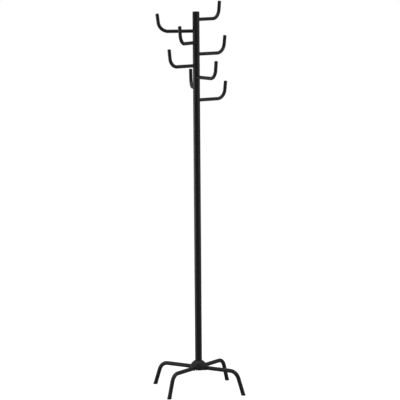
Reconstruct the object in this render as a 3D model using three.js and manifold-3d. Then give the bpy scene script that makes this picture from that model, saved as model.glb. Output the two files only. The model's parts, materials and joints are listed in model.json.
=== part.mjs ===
// Standing coat rack: a steel pole in three screwed sections, eight bent-tube hooks on the top section,
// and a base of four bent-tube legs on a hub under a domed cover.
// Millimetres, +Z up. The origin is on the pole's axis at floor level. The legs lie along +X, +Y, -X
// and -Y.

import * as THREE from "three";
import { mergeVertices } from "three/addons/utils/BufferGeometryUtils.js";
import Module from "manifold-3d";

const wasm = await Module();
wasm.setup();

// ---- Driving dimensions -------------------------------------------------------------------------

const gap = 0.3; // between two pieces that seat on, or slide into, each other

// Pole
const poleTop = 1750; // floor to the rim of the upper section
const poleRadius = 16;
const poleWall = 1.5;
const upperLength = 565;
const middleLength = 529;

// Cap in the top of the pole
const capRim = 1.8; // straight edge of the cap, level with the pole's outside
const capCrown = 3.4; // height of its dome above that edge
const capStem = 14; // how far it reaches down into the pole
const capWall = 2;

// Screwed joint between two pole sections
const seamFlange = 1.2; // thickness of the socket's flange, which shows as a dark seam
const seamInset = 0.6; // how far that flange stays inside the pole's outside
const plugLength = 24; // of every plug that is pressed into a pole section
const jointStudRadius = 5;
const jointStudLength = 20;

// Hooks
const hookHeadings = [85.5, 219, 279, 75, 260, 333.5, 132, 74]; // degrees from +X, top to bottom
const hookDrop = 31.7; // pole's rim to the axis of the highest hook
const hookPitch = 52.6; // from one hook's axis down to the next
const hookRadius = 8;
const hookWall = 1.2;
const hookReach = 168; // pole's axis to the corner where the hook's two straight runs would meet
const hookBend = 46; // radius of the bend, on the tube's axis
const hookLean = 7; // degrees that the upright leans out
const hookRise = 81.7; // arm's axis to the crown of the tip

// Tip plug in each hook
const tipHead = 6; // length of the rounded head
const tipRim = 1.5; // straight part of that head
const tipProud = 0.3; // how far the head stands outside the tube
const tipStem = 10;

// Threaded plug in each hook and the rivet nut that it screws into
const hookStudReach = 12; // length of the stud beyond the plug
const hookPlugLength = 14;
const nutLip = 0.8; // how far the nut's flange stands out round its body
const nutWall = 1.1; // of the nut's body, round the thread
const nutLength = 10.5; // of its body, inside the pole
const nutFlange = 0.8; // thickness of its flange

// Legs
const legHeight = 107; // floor to the axis of the level run
const legRadius = 9.5;
const legWall = 1.5;
const legSpread = 245.5; // pole's axis to where the leg's axis meets the floor
const legSplay = 19.3; // degrees that the lower run leans out
const legBend = 47; // radius of the bend, on the tube's axis

// Foot caps: plugs in the ends of the legs, with a sole cut level with the floor
const footSole = 3; // shortest side of the head, between the tube's end and the floor
const footProud = 0.5; // how far the head stands outside the tube
const footStem = 14; // how far the stem reaches up into the tube
const footStemWall = 2;

// Hub
const hubWall = 5.7; // hub's flat side to the recess that the pole stands in
const hubCorner = 7;
const hubDepth = 9.5; // leg's axis down to the hub's underside
const hubRise = 15; // leg's axis up to the hub's top face
const poleSeat = 4; // depth of the recess that the pole stands in
const spigotLength = 26;

// Domed cover over the hub
const coverRoom = 11; // inside of the cover's edge to the hub's corners
const coverHeight = 45; // height of the full dome, before the pole's hole
const coverWall = 2.5;
const coverDrop = 9; // leg's axis down to the cover's lower edge
const coverSlack = 0.6; // round each leg and round the pole

// Fasteners of the base
const tieBoltRadius = 4;
const tieBoltGrip = 18; // how far the bolt reaches into the pole's foot plug
const tieHeadRadius = 7.5; // across the corners of the hexagon
const tieHeadHeight = 5.3;
const washerRadius = 9.5;
const washerThickness = 1.6;
const tieRecess = 8; // depth of the recess for the bolt's head and washer
const legScrewRadius = 2.5;
const legScrewGrip = 10; // how far the screw reaches into the spigot
const legScrewHeadRadius = 4.75;
const legScrewHeadHeight = 2.7;
const legScrewPlace = 16; // hub's face to the screw's axis
const legScrewKey = 3; // across the flats of the socket in the screw's head

// How finely round shapes are faceted
const poleSides = 28;
const hookSides = 16;
const hookBoreSides = 10;
const legSides = 18;
const legBoreSides = 12;
const coverSides = 32;
const smallSides = 16;
const bendSteps = 6;

// ---- Places worked out from them ----------------------------------------------------------------

const radians = THREE.MathUtils.degToRad;

const poleBore = poleRadius - poleWall;
const plugRadius = poleBore - gap;
const hubTop = legHeight + hubRise;
const hubBottom = legHeight - hubDepth;
const poleBottom = hubTop - poleSeat + gap;
const seam = seamFlange + 2 * gap; // space between two pole sections
const upperBottom = poleTop - upperLength;
const middleTop = upperBottom - seam;
const middleBottom = middleTop - middleLength;
const lowerTop = middleBottom - seam;
const topHookHeight = poleTop - hookDrop;
const hookBore = hookRadius - hookWall;
const nutFlangeRadius = hookBore - 2 * gap; // the flange hides inside the end of the hook's tube
const nutRadius = nutFlangeRadius - nutLip;
const hookStudRadius = nutRadius - nutWall - gap;
const nutFace = poleRadius + gap + nutFlange; // outer face of the nut's flange
const legBore = legRadius - legWall;
const spigotRadius = legBore - gap;
const legLean = radians(legSplay);
const legKnee = legSpread - legHeight * Math.tan(legLean); // where the leg's straight runs would meet
const hubHalfWidth = poleRadius + gap + hubWall;
const hubReach = (hubHalfWidth - hubCorner) * Math.SQRT2 + hubCorner; // pole's axis to a corner
const coverRadius = hubReach + coverRoom + coverWall;
const legStart = hubHalfWidth + gap;
const footRadius = legRadius + footProud;
const legScrewX = hubHalfWidth + legScrewPlace;

// ---- Materials ----------------------------------------------------------------------------------

const finish = (color, roughness, metalness) => () =>
  new THREE.MeshStandardMaterial({ color, roughness, metalness });

const powderCoat = finish(0x1d1d1e, 0.45, 0);
const blackPlastic = finish(0x141415, 0.5, 0);
const coverPlastic = finish(0x1f1f20, 0.6, 0);
const footRubber = finish(0x101011, 0.75, 0);
const darkSteel = finish(0x18181a, 0.5, 0);
const zincSteel = finish(0xa9abad, 0.4, 1);

// ---- Shape helpers ------------------------------------------------------------------------------

const circle = (radius, sides) =>
  Array.from({ length: sides }, (_, i) => {
    const angle = (2 * Math.PI * i) / sides;
    return new THREE.Vector2(radius * Math.cos(angle), radius * Math.sin(angle));
  });

// Corner radius of a polygon whose flats touch a circle, which keeps a faceted hole as wide as the
// round one.
const around = (radius, sides) => radius / Math.cos(Math.PI / sides);

// A turned piece on the Z axis. The profile is [radius, z] points, anticlockwise with the radius to
// the right, that start and end on the axis or come back to the first point.
function turned(profile, sides) {
  const points = profile.map(([radius, z]) => new THREE.Vector2(radius, z));
  return new THREE.LatheGeometry(points, sides).rotateX(Math.PI / 2);
}

// A round bar, a round hole's cutter and a round pipe, along the Z axis from one height to another.
const bar = (radius, from, to, sides) =>
  turned([[0, from], [radius, from], [radius, to], [0, to]], sides);

const drill = (radius, from, to, sides) => bar(around(radius, sides), from, to, sides);

function pipe(bore, radius, from, to, sides) {
  const inner = around(bore, sides);
  return turned([[inner, from], [radius, from], [radius, to], [inner, to], [inner, from]], sides);
}

// Points on a quarter of an ellipse, from its widest radius up to its crown on the axis.
function domeProfile(radius, from, height, steps) {
  return Array.from({ length: steps + 1 }, (_, i) => {
    const angle = (Math.PI / 2) * (i / steps);
    return [radius * Math.cos(angle) * (i < steps ? 1 : 0), from + height * Math.sin(angle)];
  });
}

// Turns a piece that was made along +Z so that it lies along +X.
const alongX = (geometry) => geometry.rotateY(Math.PI / 2);

// A level straight run along +X, a bend and a second straight run, all in the XZ plane. The curve's
// parameter gives one step to each straight run and bendSteps to the bend, so that a tube extruded
// along it has rings only where it needs them.
class BentPath extends THREE.Curve {
  constructor({ start, corner, height, turn, radius, run }) {
    super();
    const side = Math.sign(turn);
    const setback = radius * Math.tan(Math.abs(turn) / 2);
    this.startPoint = new THREE.Vector3(start, 0, height);
    this.centre = new THREE.Vector3(corner - setback, 0, height + side * radius);
    this.radius = radius;
    this.turn = turn;
    this.side = side;
    this.endPoint = new THREE.Vector3(
      corner + run * Math.cos(turn), 0, height + run * Math.sin(turn));
  }

  onBend(share) {
    const angle = this.turn * share;
    return new THREE.Vector3(
      this.centre.x + this.side * this.radius * Math.sin(angle), 0,
      this.centre.z - this.side * this.radius * Math.cos(angle));
  }

  getPoint(t) {
    const station = t * (bendSteps + 2);
    if (station <= 1) return this.startPoint.clone().lerp(this.onBend(0), station);
    const past = station - 1 - bendSteps;
    if (past >= 0) return this.onBend(1).lerp(this.endPoint, past);
    return this.onBend((station - 1) / bendSteps);
  }

  getUtoTmapping(u) {
    return u;
  }
}

// A tube, open at both ends, along a bent path.
function bentTube(path, radius, bore, sides, boreSides) {
  const ring = new THREE.Shape(circle(radius, sides));
  ring.holes.push(new THREE.Path(circle(around(bore, boreSides), boreSides)));
  return new THREE.ExtrudeGeometry(ring, {
    steps: bendSteps + 2,
    bevelEnabled: false,
    extrudePath: path,
  });
}

// ---- Joining and cutting ------------------------------------------------------------------------

function toSolid(geometry) {
  const bare = geometry.index ? geometry.toNonIndexed() : geometry.clone();
  bare.deleteAttribute("normal");
  bare.deleteAttribute("uv");
  const merged = mergeVertices(bare, 1e-4);
  return new wasm.Manifold(new wasm.Mesh({
    numProp: 3,
    vertProperties: merged.attributes.position.array,
    triVerts: new Uint32Array(merged.index.array),
  }));
}

function toGeometry(solid) {
  const mesh = solid.getMesh();
  const geometry = new THREE.BufferGeometry();
  geometry.setAttribute("position", new THREE.BufferAttribute(mesh.vertProperties, 3));
  geometry.setIndex(new THREE.BufferAttribute(mesh.triVerts, 1));
  const flat = geometry.toNonIndexed();
  flat.computeVertexNormals();
  return flat;
}

const join = (base, ...others) =>
  toGeometry(others.reduce((sum, other) => sum.add(toSolid(other)), toSolid(base)));

const cut = (base, ...tools) =>
  toGeometry(tools.reduce((left, tool) => left.subtract(toSolid(tool)), toSolid(base)));

// ---- Pole ---------------------------------------------------------------------------------------

function poleUpper() {
  const tube = pipe(poleBore, poleRadius, upperBottom, poleTop, poleSides);
  const holes = hookHeadings.map((heading, i) =>
    alongX(drill(nutRadius + gap, 0, poleRadius + poleWall, hookBoreSides))
      .rotateZ(radians(heading))
      .translate(0, 0, topHookHeight - i * hookPitch));
  return cut(tube, ...holes);
}

const poleMiddle = () => pipe(poleBore, poleRadius, middleBottom, middleTop, poleSides);
const poleLower = () => pipe(poleBore, poleRadius, poleBottom, lowerTop, poleSides);

// The cap is a hollow stem under a domed head.
function poleCap() {
  const seat = poleTop + gap;
  const edge = seat + capRim;
  const stemEnd = poleTop - capStem;
  return turned([
    [0, seat],
    [plugRadius - capWall, seat],
    [plugRadius - capWall, stemEnd],
    [plugRadius, stemEnd],
    [plugRadius, seat],
    [poleRadius, seat],
    ...domeProfile(poleRadius, edge, capCrown, 5),
  ], poleSides);
}

// A plug in the foot of a section, with a stud that screws into the socket below.
const jointStud = (sectionBottom) => turned([
  [0, sectionBottom - jointStudLength],
  [jointStudRadius, sectionBottom - jointStudLength],
  [jointStudRadius, sectionBottom],
  [plugRadius, sectionBottom],
  [plugRadius, sectionBottom + plugLength],
  [0, sectionBottom + plugLength],
], smallSides);

// A threaded plug in the top of a section. Its flange lies between the two sections.
function jointSocket(sectionTop) {
  const bore = around(jointStudRadius + gap, poleSides);
  const seat = sectionTop + gap;
  const flangeTop = seat + seamFlange;
  return turned([
    [bore, sectionTop - plugLength],
    [plugRadius, sectionTop - plugLength],
    [plugRadius, seat],
    [poleRadius - seamInset, seat],
    [poleRadius - seamInset, flangeTop],
    [bore, flangeTop],
    [bore, sectionTop - plugLength],
  ], poleSides);
}

const poleFootPlug = () =>
  pipe(tieBoltRadius + gap, plugRadius, poleBottom, poleBottom + plugLength, smallSides);

// ---- Hooks: each is modelled pointing along +X, with its arm's axis at z = 0 -----------------------

const hookUpright = hookRise / Math.cos(radians(hookLean)); // corner to the crown of the tip

function hookPath() {
  return new BentPath({
    start: 0,
    corner: hookReach,
    height: 0,
    turn: radians(90 - hookLean),
    radius: hookBend,
    run: hookUpright - tipHead - gap,
  });
}

// The arm's inner end is coped to the round of the pole.
function hookTube() {
  const tube = bentTube(hookPath(), hookRadius, hookBore, hookSides, hookBoreSides);
  const reach = 2 * hookRadius;
  return cut(tube, drill(poleRadius + gap, -reach, reach, poleSides));
}

function hookTip() {
  const shoulder = -tipHead;
  const rim = hookRadius + tipProud;
  const plug = turned([
    [0, shoulder - tipStem],
    [hookBore - gap, shoulder - tipStem],
    [hookBore - gap, shoulder],
    [rim, shoulder],
    ...domeProfile(rim, shoulder + tipRim, tipHead - tipRim, 4),
  ], hookSides);
  plug.translate(0, 0, hookUpright);
  plug.rotateY(radians(hookLean));
  return plug.translate(hookReach, 0, 0);
}

function hookStud() {
  const face = nutFace + gap;
  return alongX(turned([
    [0, face - hookStudReach],
    [hookStudRadius, face - hookStudReach],
    [hookStudRadius, face],
    [hookBore - gap, face],
    [hookBore - gap, face + hookPlugLength],
    [0, face + hookPlugLength],
  ], hookBoreSides));
}

function hookNut() {
  const bore = around(hookStudRadius + gap, hookBoreSides);
  const inner = poleRadius - nutLength;
  return alongX(turned([
    [bore, inner],
    [nutRadius, inner],
    [nutRadius, poleRadius + gap],
    [nutFlangeRadius, poleRadius + gap],
    [nutFlangeRadius, nutFace],
    [bore, nutFace],
    [bore, inner],
  ], hookBoreSides));
}

// ---- Base: each leg is modelled pointing along +X ---------------------------------------------------

const legDrop = legHeight / Math.cos(legLean); // corner to where the leg's axis meets the floor
const footSeat = legDrop - footRadius * Math.tan(legLean) - footSole; // corner to the cap's head
const legScrewTop = legHeight - spigotRadius + legScrewGrip;

const legScrewHole = (top) =>
  drill(legScrewRadius + gap, legHeight - 2 * legRadius, top, smallSides).translate(legScrewX, 0, 0);

function leg() {
  const path = new BentPath({
    start: legStart,
    corner: legKnee,
    height: legHeight,
    turn: legLean - Math.PI / 2,
    radius: legBend,
    run: footSeat - gap,
  });
  return cut(bentTube(path, legRadius, legBore, legSides, legBoreSides), legScrewHole(legHeight));
}

// A head under the end of the leg, on a hollow stem. The floor's plane cuts the head's sole level.
function footCap() {
  const stemRadius = legBore - gap;
  const plug = turned([
    [0, -legDrop - footRadius],
    [footRadius, -legDrop - footRadius],
    [footRadius, -footSeat],
    [stemRadius, -footSeat],
    [stemRadius, footStem - footSeat],
    [stemRadius - footStemWall, footStem - footSeat],
    [stemRadius - footStemWall, -footSeat],
    [0, -footSeat],
  ], legSides);
  plug.rotateY(-legLean).translate(legKnee, 0, legHeight);
  const side = 4 * footRadius;
  const belowFloor = new THREE.BoxGeometry(side, side, side).translate(legSpread, 0, -side / 2);
  return cut(plug, belowFloor);
}

function legScrew() {
  const seat = legHeight - legRadius - gap;
  const headBottom = seat - legScrewHeadHeight;
  const screw = turned([
    [0, headBottom],
    [legScrewHeadRadius - legScrewHeadHeight / 2, headBottom],
    [legScrewHeadRadius, seat - legScrewHeadHeight / 2],
    [legScrewHeadRadius, seat],
    [legScrewRadius, seat],
    [legScrewRadius, legScrewTop],
    [0, legScrewTop],
  ], smallSides);
  const key = drill(legScrewKey / 2, headBottom - gap, headBottom + legScrewHeadHeight / 2, 6);
  return cut(screw, key).translate(legScrewX, 0, 0);
}

// A square block with a round spigot for each leg, a recess for the pole and one for the bolt's head.
function hub() {
  const inset = hubHalfWidth - hubCorner;
  const outline = new THREE.Shape();
  [[1, 1], [-1, 1], [-1, -1], [1, -1]].forEach(([x, y], quarter) => {
    const angle = (quarter * Math.PI) / 2;
    outline.absarc(x * inset, y * inset, hubCorner, angle, angle + Math.PI / 2);
  });
  const block = new THREE.ExtrudeGeometry(outline, {
    depth: hubDepth + hubRise,
    bevelEnabled: false,
    curveSegments: 4,
  }).translate(0, 0, hubBottom);
  const spigots = [0, 1, 2, 3].map((quarter) =>
    alongX(bar(spigotRadius, inset, hubHalfWidth + spigotLength, legBoreSides))
      .translate(0, 0, legHeight)
      .rotateZ((quarter * Math.PI) / 2));
  const screwHoles = [0, 1, 2, 3].map((quarter) =>
    legScrewHole(legScrewTop + gap).rotateZ((quarter * Math.PI) / 2));
  return cut(
    join(block, ...spigots),
    drill(poleRadius + gap, hubTop - poleSeat, hubTop + gap, poleSides),
    drill(washerRadius + gap, hubBottom - gap, hubBottom + tieRecess, smallSides),
    drill(tieBoltRadius + gap, hubBottom, hubTop, smallSides),
    ...screwHoles,
  );
}

// A dome with a hole for the pole and an arched notch for each leg.
function hubCover() {
  const edge = legHeight - coverDrop;
  const hole = around(poleRadius + coverSlack, coverSides);
  const steps = 7;
  const arc = (radius, height) => {
    const last = Math.acos(hole / radius);
    return Array.from({ length: steps + 1 }, (_, i) => {
      const angle = (last * i) / steps;
      return [radius * Math.cos(angle), edge + height * Math.sin(angle)];
    });
  };
  const outside = arc(coverRadius, coverHeight);
  const inside = arc(coverRadius - coverWall, coverHeight - coverWall).reverse();
  const shell = turned([...outside, ...inside, outside[0]], coverSides);
  const notchHalf = legRadius + coverSlack;
  const reach = coverRadius + coverWall;
  const notches = [0, 1, 2, 3].flatMap((quarter) => {
    const arch = alongX(drill(notchHalf, 0, reach, legSides)).translate(0, 0, legHeight);
    const slot = new THREE.BoxGeometry(reach, 2 * notchHalf, 2 * legRadius)
      .translate(reach / 2, 0, legHeight - legRadius);
    return [arch, slot].map((tool) => tool.rotateZ((quarter * Math.PI) / 2));
  });
  return cut(shell, ...notches);
}

function tieBolt() {
  const washerBottom = hubBottom + tieRecess - gap - washerThickness;
  const headTop = washerBottom - gap;
  const head = bar(tieHeadRadius, headTop - tieHeadHeight, headTop, 6);
  const shank = bar(tieBoltRadius, headTop - gap, poleBottom + tieBoltGrip, hookBoreSides);
  return join(head, shank);
}

function tieWasher() {
  const top = hubBottom + tieRecess - gap;
  return pipe(tieBoltRadius + gap, washerRadius, top - washerThickness, top, smallSides);
}

// ---- Assembly -----------------------------------------------------------------------------------

function piece(name, geometry, material) {
  const mesh = new THREE.Mesh(geometry, material());
  mesh.name = name;
  return mesh;
}

function pole() {
  const group = new THREE.Group();
  group.add(
    piece("pole_upper", poleUpper(), powderCoat),
    piece("pole_middle", poleMiddle(), powderCoat),
    piece("pole_lower", poleLower(), powderCoat),
    piece("pole_top_cap", poleCap(), blackPlastic),
    piece("upper_joint_stud", jointStud(upperBottom), zincSteel),
    piece("upper_joint_socket", jointSocket(middleTop), darkSteel),
    piece("lower_joint_stud", jointStud(middleBottom), zincSteel),
    piece("lower_joint_socket", jointSocket(lowerTop), darkSteel),
    piece("pole_foot_plug", poleFootPlug(), zincSteel),
  );
  return group;
}

function hook(number, heading, height) {
  const group = new THREE.Group();
  group.add(
    piece(`hook_${number}_tube`, hookTube(), powderCoat),
    piece(`hook_${number}_tip`, hookTip(), blackPlastic),
    piece(`hook_${number}_stud`, hookStud(), zincSteel),
    piece(`hook_${number}_nut`, hookNut(), zincSteel),
  );
  group.position.z = height;
  group.rotation.z = radians(heading);
  return group;
}

function legSet(number) {
  const group = new THREE.Group();
  group.add(
    piece(`leg_${number}`, leg(), powderCoat),
    piece(`foot_cap_${number}`, footCap(), footRubber),
    piece(`leg_screw_${number}`, legScrew(), zincSteel),
  );
  group.rotation.z = ((number - 1) * Math.PI) / 2;
  return group;
}

const coatRack = new THREE.Group();
coatRack.name = "coat_rack";
coatRack.add(pole());
hookHeadings.forEach((heading, i) => {
  coatRack.add(hook(i + 1, heading, topHookHeight - i * hookPitch));
});
[1, 2, 3, 4].forEach((number) => coatRack.add(legSet(number)));
coatRack.add(
  piece("base_hub", hub(), darkSteel),
  piece("hub_cover", hubCover(), coverPlastic),
  piece("tie_bolt", tieBolt(), zincSteel),
  piece("tie_washer", tieWasher(), zincSteel),
);

export default coatRack;
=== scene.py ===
# %% [markdown]
# # A standing coat rack, dressed round its CAD frame
# The rack is a slim steel pole in three screwed sections. Eight bent-tube hooks point several ways
# from its top section, and four bent legs meet in a hub under a domed cover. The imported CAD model
# says where every piece is and how big it is, so this lesson takes all its places from there. The
# CAD pieces are coarse, with flat facets and bare colours. Each piece that shows is built again here
# with fine rings, soft edges and a procedural finish. The ones that nobody sees stay as they are and
# only get a finish.

# %% Load the frame
import json
import math

import bmesh
import bpy
from mathutils import Matrix, Vector


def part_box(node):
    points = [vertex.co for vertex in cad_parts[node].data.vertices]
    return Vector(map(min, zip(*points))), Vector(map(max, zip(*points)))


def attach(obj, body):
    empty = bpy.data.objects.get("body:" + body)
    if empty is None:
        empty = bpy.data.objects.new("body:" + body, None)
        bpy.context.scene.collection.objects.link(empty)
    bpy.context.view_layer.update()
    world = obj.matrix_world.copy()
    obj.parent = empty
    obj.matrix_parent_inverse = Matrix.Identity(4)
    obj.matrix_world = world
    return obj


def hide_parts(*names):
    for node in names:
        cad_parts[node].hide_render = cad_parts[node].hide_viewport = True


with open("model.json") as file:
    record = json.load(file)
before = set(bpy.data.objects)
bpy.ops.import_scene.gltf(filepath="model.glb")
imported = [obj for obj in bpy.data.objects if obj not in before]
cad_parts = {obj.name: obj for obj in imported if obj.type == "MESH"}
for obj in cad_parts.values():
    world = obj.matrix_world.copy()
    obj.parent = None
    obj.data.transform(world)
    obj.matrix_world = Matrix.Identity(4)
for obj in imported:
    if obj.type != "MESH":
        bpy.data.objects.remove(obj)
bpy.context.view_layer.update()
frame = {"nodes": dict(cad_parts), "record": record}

# %% [markdown]
# ## Read the rack's sizes from the frame
# Blender works in metres, and a maker thinks of tube in millimetres, so one name, MM, turns one into
# the other. A CAD node's box gives its heights and its radius directly. A hook can point anywhere, so
# its box says little about its heading. The stud inside the hook's root is the same on both sides of
# the hook's own plane, so the middle of its corner points lies in that plane and gives the heading.
# The bends can't be read from a box, so their few numbers are repeated here from the CAD source.

# %% Places that come from the frame
MM = 0.001


def low(node):
    """Lowest corner of a CAD node's box."""
    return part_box(node)[0]


def high(node):
    """Highest corner of a CAD node's box."""
    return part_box(node)[1]


def middle(node):
    """Mean of a CAD node's separate corner points."""
    corners = {vertex.co.to_tuple(6) for vertex in frame["nodes"][node].data.vertices}
    return sum((Vector(corner) for corner in corners), Vector()) / len(corners)


POLE_RADIUS = high("pole_upper").x
LEG_RADIUS = 9.5 * MM  # repeated from the CAD source
ARM_HEIGHT = high("leg_1").z - LEG_RADIUS  # floor to the axis of a leg's level run
hooks = {}
for number in range(1, 9):
    root = middle(f"hook_{number}_stud")
    hooks[number] = (round(math.degrees(math.atan2(root.y, root.x)), 2), root.z)
    print(f"hook {number}: heading {hooks[number][0]:.1f} degrees, arm {root.z / MM:.1f} mm up")
print(f"pole radius {POLE_RADIUS / MM:.1f} mm, legs' level runs {ARM_HEIGHT / MM:.1f} mm up")

# %% Sizes of the bent tubes, repeated from the CAD source
GAP = 0.3 * MM  # between two pieces that seat on each other

HOOK_RADIUS = 8 * MM
HOOK_BORE = 6.8 * MM
HOOK_REACH = 168 * MM  # pole's axis to the corner where a hook's straight runs would meet
HOOK_BEND = 46 * MM
HOOK_LEAN = math.radians(7)
HOOK_RISE = 81.7 * MM  # arm's axis to the crown of the tip
TIP_HEAD = 6 * MM

LEG_BORE = 8 * MM
LEG_SPREAD = 245.5 * MM  # pole's axis to where a leg's axis meets the floor
LEG_SPLAY = math.radians(19.3)
LEG_BEND = 47 * MM

# %% [markdown]
# ## Rings and skins
# Nearly everything on this rack is round in section: tubes, plugs, caps, screws and the dome. Blender
# could make them from cylinders, or from curves with a bevel depth. A cylinder has no soft edge, and a
# bevelled curve has no wall, no cut ends and no say in where its rings fall. So each piece is built as
# a train of rings, one after another along a line, with a skin of four-sided faces between each ring
# and the next. A ring of a single point closes an end like the crown of a dome. A train that comes
# back to its first ring makes a tube with a real bore.
# Each ring also carries an edge value, 1 on a rounded edge and 0 elsewhere, which is stored with the
# mesh. The finishes read it later to know where a coating would be rubbed.

# %% Skin a train of rings
SHARP = math.radians(32)  # faces that meet at more than this stay crisp when shaded


def piece_from(mesh_builder, name):
    """Turns a bmesh into an object of the scene, shaded smooth but for its sharp edges."""
    bmesh.ops.recalc_face_normals(mesh_builder, faces=mesh_builder.faces)
    mesh = bpy.data.meshes.new(name)
    mesh_builder.to_mesh(mesh)
    mesh_builder.free()
    mesh.shade_smooth()
    mesh.set_sharp_from_angle(angle=SHARP)
    piece = bpy.data.objects.new(name, mesh)
    bpy.context.scene.collection.objects.link(piece)
    return piece


def skin(name, train, closed=False, flat_ends=False):
    """Skins a train of (points, edge value) rings, and closes it on itself or with flat ends."""
    builder = bmesh.new()
    edge_layer = builder.verts.layers.float.new("edge")
    rows = []
    for points, edge in train:
        row = [builder.verts.new(point) for point in points]
        for vertex in row:
            vertex[edge_layer] = edge
        rows.append(row)
    for row, after in zip(rows, rows[1:] + rows[:1] if closed else rows[1:]):
        around = max(len(row), len(after))
        for i in range(around):
            j = (i + 1) % around
            corners = [row[i % len(row)], row[j % len(row)],
                       after[j % len(after)], after[i % len(after)]]
            builder.faces.new(list(dict.fromkeys(corners)))
    if flat_ends:
        builder.faces.new(rows[0])
        builder.faces.new(rows[-1])
    return piece_from(builder, name)


# %% [markdown]
# ## Lines to thread the rings on
# A line is a function: give it a distance, and it gives back the point there and the direction that
# the line runs. The pole, the cap and the screws use a straight upright line. A hook or a leg uses a
# level run, one bend and a second straight run, all in one upright plane, as a tube bender makes it.
# The bend needs many rings and the straight runs need none, so a line also lists the distances at
# which a ring is wanted. A bent piece is made pointing along +X and is turned to its heading later.

# %% Straight and bent lines
def upright(distance):
    """The pole's axis: distance is the height above the floor."""
    return Vector((0, 0, distance)), Vector((0, 0, 1))


class BentLine:
    """A level run along +X from the pole's axis, a bend, and a second straight run."""

    def __init__(self, height, corner, turn, radius, steps):
        setback = radius * math.tan(abs(turn) / 2)
        side = math.copysign(1, turn)
        self.height, self.turn, self.radius, self.side = height, turn, radius, side
        self.start = corner - setback
        self.arc = radius * abs(turn)
        self.end = self.start + self.arc
        self.centre = Vector((self.start, 0, height + side * radius))
        self.past_corner = self.end - setback  # distance that the corner itself would have
        self.stops = [self.start + self.arc * step / steps for step in range(steps + 1)]

    def __call__(self, distance):
        if distance <= self.start:
            return Vector((distance, 0, self.height)), Vector((1, 0, 0))
        angle = math.copysign(min(distance - self.start, self.arc) / self.radius, self.turn)
        onward = Vector((math.cos(angle), 0, math.sin(angle)))
        outward = Vector((math.sin(angle), 0, -math.cos(angle))) * self.side
        return (self.centre + outward * self.radius
                + onward * max(0, distance - self.end)), onward


hook_line = BentLine(0, HOOK_REACH, math.pi / 2 - HOOK_LEAN, HOOK_BEND, 26)
leg_knee = LEG_SPREAD - ARM_HEIGHT * math.tan(LEG_SPLAY)
leg_line = BentLine(ARM_HEIGHT, leg_knee, LEG_SPLAY - math.pi / 2, LEG_BEND, 24)
hook_crown = hook_line.past_corner + HOOK_RISE / math.cos(HOOK_LEAN)
print(f"a hook's line is {hook_crown / MM:.1f} mm long, from the pole's axis to its crown")
print(f"a leg bends between {leg_line.start / MM:.1f} and {leg_line.end / MM:.1f} mm along it")

# %% [markdown]
# ## Soft corners
# No real edge is perfectly sharp. A sawn and powder-coated tube has an edge radius of a third to half
# a millimetre, and a moulded plug has more. Those little radii catch the light as thin bright lines,
# and without them a render looks like a diagram. A bevel modifier could add them at the end, but it
# guesses at corners where many faces meet. Here the profile itself is rounded: each corner of it is
# given with its own radius, and the corner is swapped for a short arc. A ring is also set a little way
# beyond each arc, so that the edge value fades out there and not half-way down the tube.

# %% Round the corners of a profile
ARC_STEPS = 4
EDGE_REACH = 1.6 * MM  # how far the rubbed look spreads from an edge
SUPPORT_LIMIT = 0.45  # share of a side that a support may use, so two never pass each other
ARC_LIMIT = 0.4  # an arc that takes more of a side than this gets no support on it
ARC_END_VALUE = 0.6  # edge value at the two ends of an arc, where it is 1 in between
ON_AXIS = 1e-7  # a ring with a smaller radius is a single point


def softened(corners, closed):
    """Turns (distance, radius, rounding) corners into (distance, radius, edge value) points."""
    made = []
    for i, (distance, radius, rounding) in enumerate(corners):
        if rounding == 0 or (not closed and i in (0, len(corners) - 1)):
            made.append((distance, radius, 0.0))
            continue
        here = Vector((distance, radius))
        before = Vector(corners[i - 1][:2]) - here
        after = Vector(corners[(i + 1) % len(corners)][:2]) - here
        half = before.angle(after) / 2
        setback = rounding / math.tan(half)
        ways = (before.normalized(), after.normalized())
        centre = here + (ways[0] + ways[1]).normalized() * rounding / math.sin(half)
        first, last = (here + way * setback - centre for way in ways)
        supports = [here + way * min(setback + EDGE_REACH, SUPPORT_LIMIT * side.length)
                    for way, side in zip(ways, (before, after))]
        if setback < ARC_LIMIT * before.length:
            made.append((*supports[0], 0.0))
        for step in range(ARC_STEPS + 1):
            share = step / ARC_STEPS
            spoke = (first * (1 - share) + last * share).normalized() * rounding
            inner = 0 < step < ARC_STEPS
            made.append((*(centre + spoke), 1.0 if inner else ARC_END_VALUE))
        if setback < ARC_LIMIT * after.length:
            made.append((*supports[1], 0.0))
    return made


def with_stops(profile, stops, closed):
    """Adds a point to the profile wherever it passes one of the line's stops."""
    made = []
    onward = profile[1:] + profile[:1] if closed else profile[1:] + profile[-1:]
    for here, after in zip(profile, onward):
        made.append(here)
        near, far = sorted((here[0], after[0]))
        between = [stop for stop in stops if near + GAP < stop < far - GAP]
        for stop in sorted(between, reverse=here[0] > after[0]):
            share = (stop - here[0]) / (after[0] - here[0])
            made.append((stop, here[1] + (after[1] - here[1]) * share, 0.0))
    return made


def round_piece(name, line, corners, sides, closed=False, stops=()):
    """A piece that is round about a line. Its corners are (distance, radius, rounding)."""
    train = []
    for distance, radius, edge in with_stops(softened(corners, closed), stops, closed):
        centre, onward = line(distance)
        if radius < ON_AXIS:
            train.append(([centre], edge))
            continue
        across = Vector((0, 1, 0))
        up = across.cross(onward)
        points = []
        for i in range(sides):
            angle = 2 * math.pi * i / sides
            points.append(centre + (across * math.cos(angle) + up * math.sin(angle)) * radius)
        train.append((points, edge))
    return skin(name, train, closed=closed)


def tube_corners(start, end, radius, bore, rounding):
    """The profile of an open tube: out along its outside and back along its bore."""
    return [(start, radius, rounding), (end, radius, rounding),
            (end, bore, rounding / 2), (start, bore, rounding / 2)]


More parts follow.
